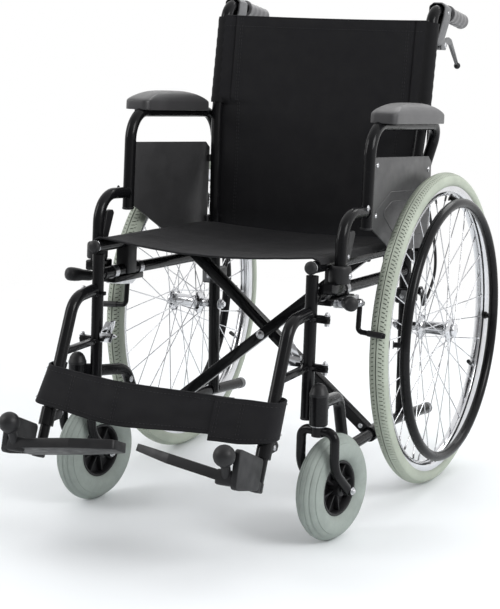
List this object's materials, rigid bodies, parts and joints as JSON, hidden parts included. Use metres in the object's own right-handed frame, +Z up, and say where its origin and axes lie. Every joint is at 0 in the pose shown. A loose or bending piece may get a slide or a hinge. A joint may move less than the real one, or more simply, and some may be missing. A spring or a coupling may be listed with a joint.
{
  "type": "wheelchair",
  "caption": "Folding manual wheelchair with spoked rear wheels, push rims, casters, lift-off desk armrests, swing-away footrests, sling seat and back, and hand brakes.",
  "frame": {"origin": "centre of the bounding box at floor level", "axes": "+Z up, -Y the way the sitter faces, +X the sitter's left"},
  "size_m": [0.6416, 1.0788, 0.9315],
  "materials": {
    "frame": "gloss black",
    "steel": "polished",
    "plastic": "moulded, semi-matt",
    "panel": "satin dark grey",
    "pad": "moulded skin, satin",
    "nylon": "woven, matt black",
    "tyre": "pale grey-green, matt",
    "caster_tyre": "grey-green, matt",
    "rim": "polished",
    "grip": "moulded, satin"
  },
  "bodies": {
    "left_frame": {"left_side_frame": "frame", "left_push_grip": "grip", "left_lever_clamp": "plastic", "left_brake_cable": "plastic", "left_axle": "steel", "left_parking_brake_plate": "frame", "seat_sling": "nylon", "back_sling": "nylon", "calf_strap": "nylon"},
    "brace_a": {"brace_a": "frame", "brace_pivot": "steel"},
    "brace_b": {"brace_b": "frame"},
    "right_frame": {"right_side_frame": "frame", "right_push_grip": "grip", "right_lever_clamp": "plastic", "right_brake_cable": "plastic", "right_axle": "steel", "right_parking_brake_plate": "frame"},
    "left_wheel": {"left_tyre": "tyre", "left_rim": "rim", "left_hub": "rim", "left_handrim": "frame"},
    "left_caster_fork": {"left_caster_fork": "frame"},
    "left_caster_wheel": {"left_caster_wheel": "plastic", "left_caster_tyre": "caster_tyre"},
    "left_arm": {"left_arm_tube": "frame", "left_arm_panel": "panel", "left_arm_pad": "pad"},
    "left_arm_latch": {"left_arm_latch": "plastic"},
    "left_hanger": {"left_hanger": "frame"},
    "left_hanger_latch": {"left_hanger_latch": "steel"},
    "left_foot_tube": {"left_foot_tube": "steel"},
    "left_footplate": {"left_footplate": "plastic"},
    "left_parking_brake_lever": {"left_parking_brake_lever": "plastic"},
    "left_parking_brake_shoe": {"left_parking_brake_shoe": "frame"},
    "left_brake_hand_lever": {"left_brake_hand_lever": "plastic"},
    "left_wheel_brake": {"left_wheel_brake": "frame"},
    "right_wheel": {"right_tyre": "tyre", "right_rim": "rim", "right_hub": "rim", "right_handrim": "frame"},
    "right_caster_fork": {"right_caster_fork": "frame"},
    "right_caster_wheel": {"right_caster_wheel": "plastic", "right_caster_tyre": "caster_tyre"},
    "right_arm": {"right_arm_tube": "frame", "right_arm_panel": "panel", "right_arm_pad": "pad"},
    "right_arm_latch": {"right_arm_latch": "plastic"},
    "right_hanger": {"right_hanger": "frame"},
    "right_hanger_latch": {"right_hanger_latch": "steel"},
    "right_foot_tube": {"right_foot_tube": "steel"},
    "right_footplate": {"right_footplate": "plastic"},
    "right_parking_brake_lever": {"right_parking_brake_lever": "plastic"},
    "right_parking_brake_shoe": {"right_parking_brake_shoe": "frame"},
    "right_brake_hand_lever": {"right_brake_hand_lever": "plastic"},
    "right_wheel_brake": {"right_wheel_brake": "frame"}
  },
  "joints": [
    {"name": "fold", "type": "hinge", "parent": "left_frame", "child": "brace_a", "pos_m": [0.2155, 0.0684, 0.124], "axis": [0, 1, 0], "range_deg": [0, 41], "deforming": ["seat_sling", "back_sling", "calf_strap"]},
    {"name": "brace_crossing", "type": "hinge", "parent": "brace_a", "child": "brace_b", "pos_m": [0, 0.0314, 0.302], "axis": [0, 1, 0], "range_deg": [-82, 0]},
    {"name": "right_frame_hinge", "type": "hinge", "parent": "brace_b", "child": "right_frame", "pos_m": [-0.2155, 0.0314, 0.124], "axis": [0, 1, 0], "range_deg": [0, 41]},
    {"name": "left_wheel_roll", "type": "hinge", "parent": "left_frame", "child": "left_wheel", "pos_m": [0.2775, 0.2344, 0.305], "axis": [1, 0, 0], "continuous": true},
    {"name": "left_caster_swivel", "type": "hinge", "parent": "left_frame", "child": "left_caster_fork", "pos_m": [0.2455, -0.2436, 0.219], "axis": [0, 0, 1], "continuous": true},
    {"name": "left_caster_roll", "type": "hinge", "parent": "left_caster_fork", "child": "left_caster_wheel", "pos_m": [0.25326, -0.19724, 0.096], "axis": [0.9863, -0.165, 0], "continuous": true},
    {"name": "left_arm_lift", "type": "slide", "parent": "left_frame", "child": "left_arm", "axis": [0, 0.0732, 0.9973], "range_m": [0, 0.03]},
    {"name": "left_arm_latch_turn", "type": "hinge", "parent": "left_arm", "child": "left_arm_latch", "pos_m": [0.247, -0.14718, 0.5], "axis": [-1, 0, 0], "range_deg": [0, 12], "stiffness_Nm_per_rad": 0.3, "springref_deg": -2.86},
    {"name": "left_hanger_swing", "type": "hinge", "parent": "left_frame", "child": "left_hanger", "pos_m": [0.2465, -0.21908, 0.39997], "axis": [0, 0.0506, 0.9987], "range_deg": [0, 90], "deforming": ["calf_strap"]},
    {"name": "left_hanger_latch_turn", "type": "hinge", "parent": "left_hanger", "child": "left_hanger_latch", "pos_m": [0.1958, -0.22391, 0.3265], "axis": [0, -1, 0], "range_deg": [0, 9], "stiffness_Nm_per_rad": 0.2, "springref_deg": -2.86},
    {"name": "left_foot_slide", "type": "slide", "parent": "left_hanger", "child": "left_foot_tube", "axis": [0, -0.4115, -0.9114], "range_m": [-0.012, 0.06]},
    {"name": "left_footplate_flip", "type": "hinge", "parent": "left_foot_tube", "child": "left_footplate", "pos_m": [0.2148, -0.41765, 0.14898], "axis": [0, 0.9239, -0.3827], "range_deg": [0, 82]},
    {"name": "left_parking_brake_turn", "type": "hinge", "parent": "left_frame", "child": "left_parking_brake_lever", "pos_m": [0.243, -0.1436, 0.417], "axis": [1, 0, 0], "range_deg": [0, 36]},
    {"name": "left_shoe_turn", "type": "hinge", "parent": "left_frame", "child": "left_parking_brake_shoe", "pos_m": [0.243, -0.0666, 0.403], "axis": [1, 0, 0], "range_deg": [-18, 0]},
    {"name": "left_hand_lever_squeeze", "type": "hinge", "parent": "left_frame", "child": "left_brake_hand_lever", "pos_m": [0.224, 0.3604, 0.84684], "axis": [1, 0, 0], "range_deg": [0, 12], "stiffness_Nm_per_rad": 1.2, "springref_deg": -5.73},
    {"name": "left_wheel_brake_turn", "type": "hinge", "parent": "left_frame", "child": "left_wheel_brake", "pos_m": [0.23, 0.2674, 0.37], "axis": [1, 0, 0], "range_deg": [-9, 0]},
    {"name": "right_wheel_roll", "type": "hinge", "parent": "right_frame", "child": "right_wheel", "pos_m": [-0.2775, 0.2344, 0.305], "axis": [1, 0, 0], "continuous": true},
    {"name": "right_caster_swivel", "type": "hinge", "parent": "right_frame", "child": "right_caster_fork", "pos_m": [-0.2455, -0.2436, 0.219], "axis": [0, 0, 1], "continuous": true},
    {"name": "right_caster_roll", "type": "hinge", "parent": "right_caster_fork", "child": "right_caster_wheel", "pos_m": [-0.23734, -0.19731, 0.096], "axis": [0.9848, -0.1736, 0], "continuous": true},
    {"name": "right_arm_lift", "type": "slide", "parent": "right_frame", "child": "right_arm", "axis": [0, 0.0732, 0.9973], "range_m": [0, 0.03]},
    {"name": "right_arm_latch_turn", "type": "hinge", "parent": "right_arm", "child": "right_arm_latch", "pos_m": [-0.247, -0.14718, 0.5], "axis": [-1, 0, 0], "range_deg": [0, 12], "stiffness_Nm_per_rad": 0.3, "springref_deg": -2.86},
    {"name": "right_hanger_swing", "type": "hinge", "parent": "right_frame", "child": "right_hanger", "pos_m": [-0.2465, -0.21908, 0.39997], "axis": [0, -0.0506, -0.9987], "range_deg": [0, 90], "deforming": ["calf_strap"]},
    {"name": "right_hanger_latch_turn", "type": "hinge", "parent": "right_hanger", "child": "right_hanger_latch", "pos_m": [-0.1958, -0.22391, 0.3265], "axis": [0, 1, 0], "range_deg": [0, 9], "stiffness_Nm_per_rad": 0.2, "springref_deg": -2.86},
    {"name": "right_foot_slide", "type": "slide", "parent": "right_hanger", "child": "right_foot_tube", "axis": [0, -0.4115, -0.9114], "range_m": [-0.012, 0.06]},
    {"name": "right_footplate_flip", "type": "hinge", "parent": "right_foot_tube", "child": "right_footplate", "pos_m": [-0.2148, -0.41765, 0.14898], "axis": [0, -0.9239, 0.3827], "range_deg": [0, 82]},
    {"name": "right_parking_brake_turn", "type": "hinge", "parent": "right_frame", "child": "right_parking_brake_lever", "pos_m": [-0.243, -0.1436, 0.417], "axis": [1, 0, 0], "range_deg": [0, 36]},
    {"name": "right_shoe_turn", "type": "hinge", "parent": "right_frame", "child": "right_parking_brake_shoe", "pos_m": [-0.243, -0.0666, 0.403], "axis": [1, 0, 0], "range_deg": [-18, 0]},
    {"name": "right_hand_lever_squeeze", "type": "hinge", "parent": "right_frame", "child": "right_brake_hand_lever", "pos_m": [-0.224, 0.3604, 0.84684], "axis": [1, 0, 0], "range_deg": [0, 12], "stiffness_Nm_per_rad": 1.2, "springref_deg": -5.73},
    {"name": "right_wheel_brake_turn", "type": "hinge", "parent": "right_frame", "child": "right_wheel_brake", "pos_m": [-0.23, 0.2674, 0.37], "axis": [1, 0, 0], "range_deg": [-9, 0]}
  ],
  "couplings": [
    {"joint": "brace_crossing", "follows": "fold", "ratio": -2},
    {"joint": "right_frame_hinge", "follows": "fold", "ratio": 1},
    {"joint": "left_footplate_flip", "follows": "fold", "ratio": 2},
    {"joint": "left_shoe_turn", "follows": "left_parking_brake_turn", "ratio": -0.5},
    {"joint": "left_wheel_brake_turn", "follows": "left_hand_lever_squeeze", "ratio": -0.75},
    {"joint": "right_footplate_flip", "follows": "fold", "ratio": 2},
    {"joint": "right_shoe_turn", "follows": "right_parking_brake_turn", "ratio": -0.5},
    {"joint": "right_wheel_brake_turn", "follows": "right_hand_lever_squeeze", "ratio": -0.75}
  ]
}
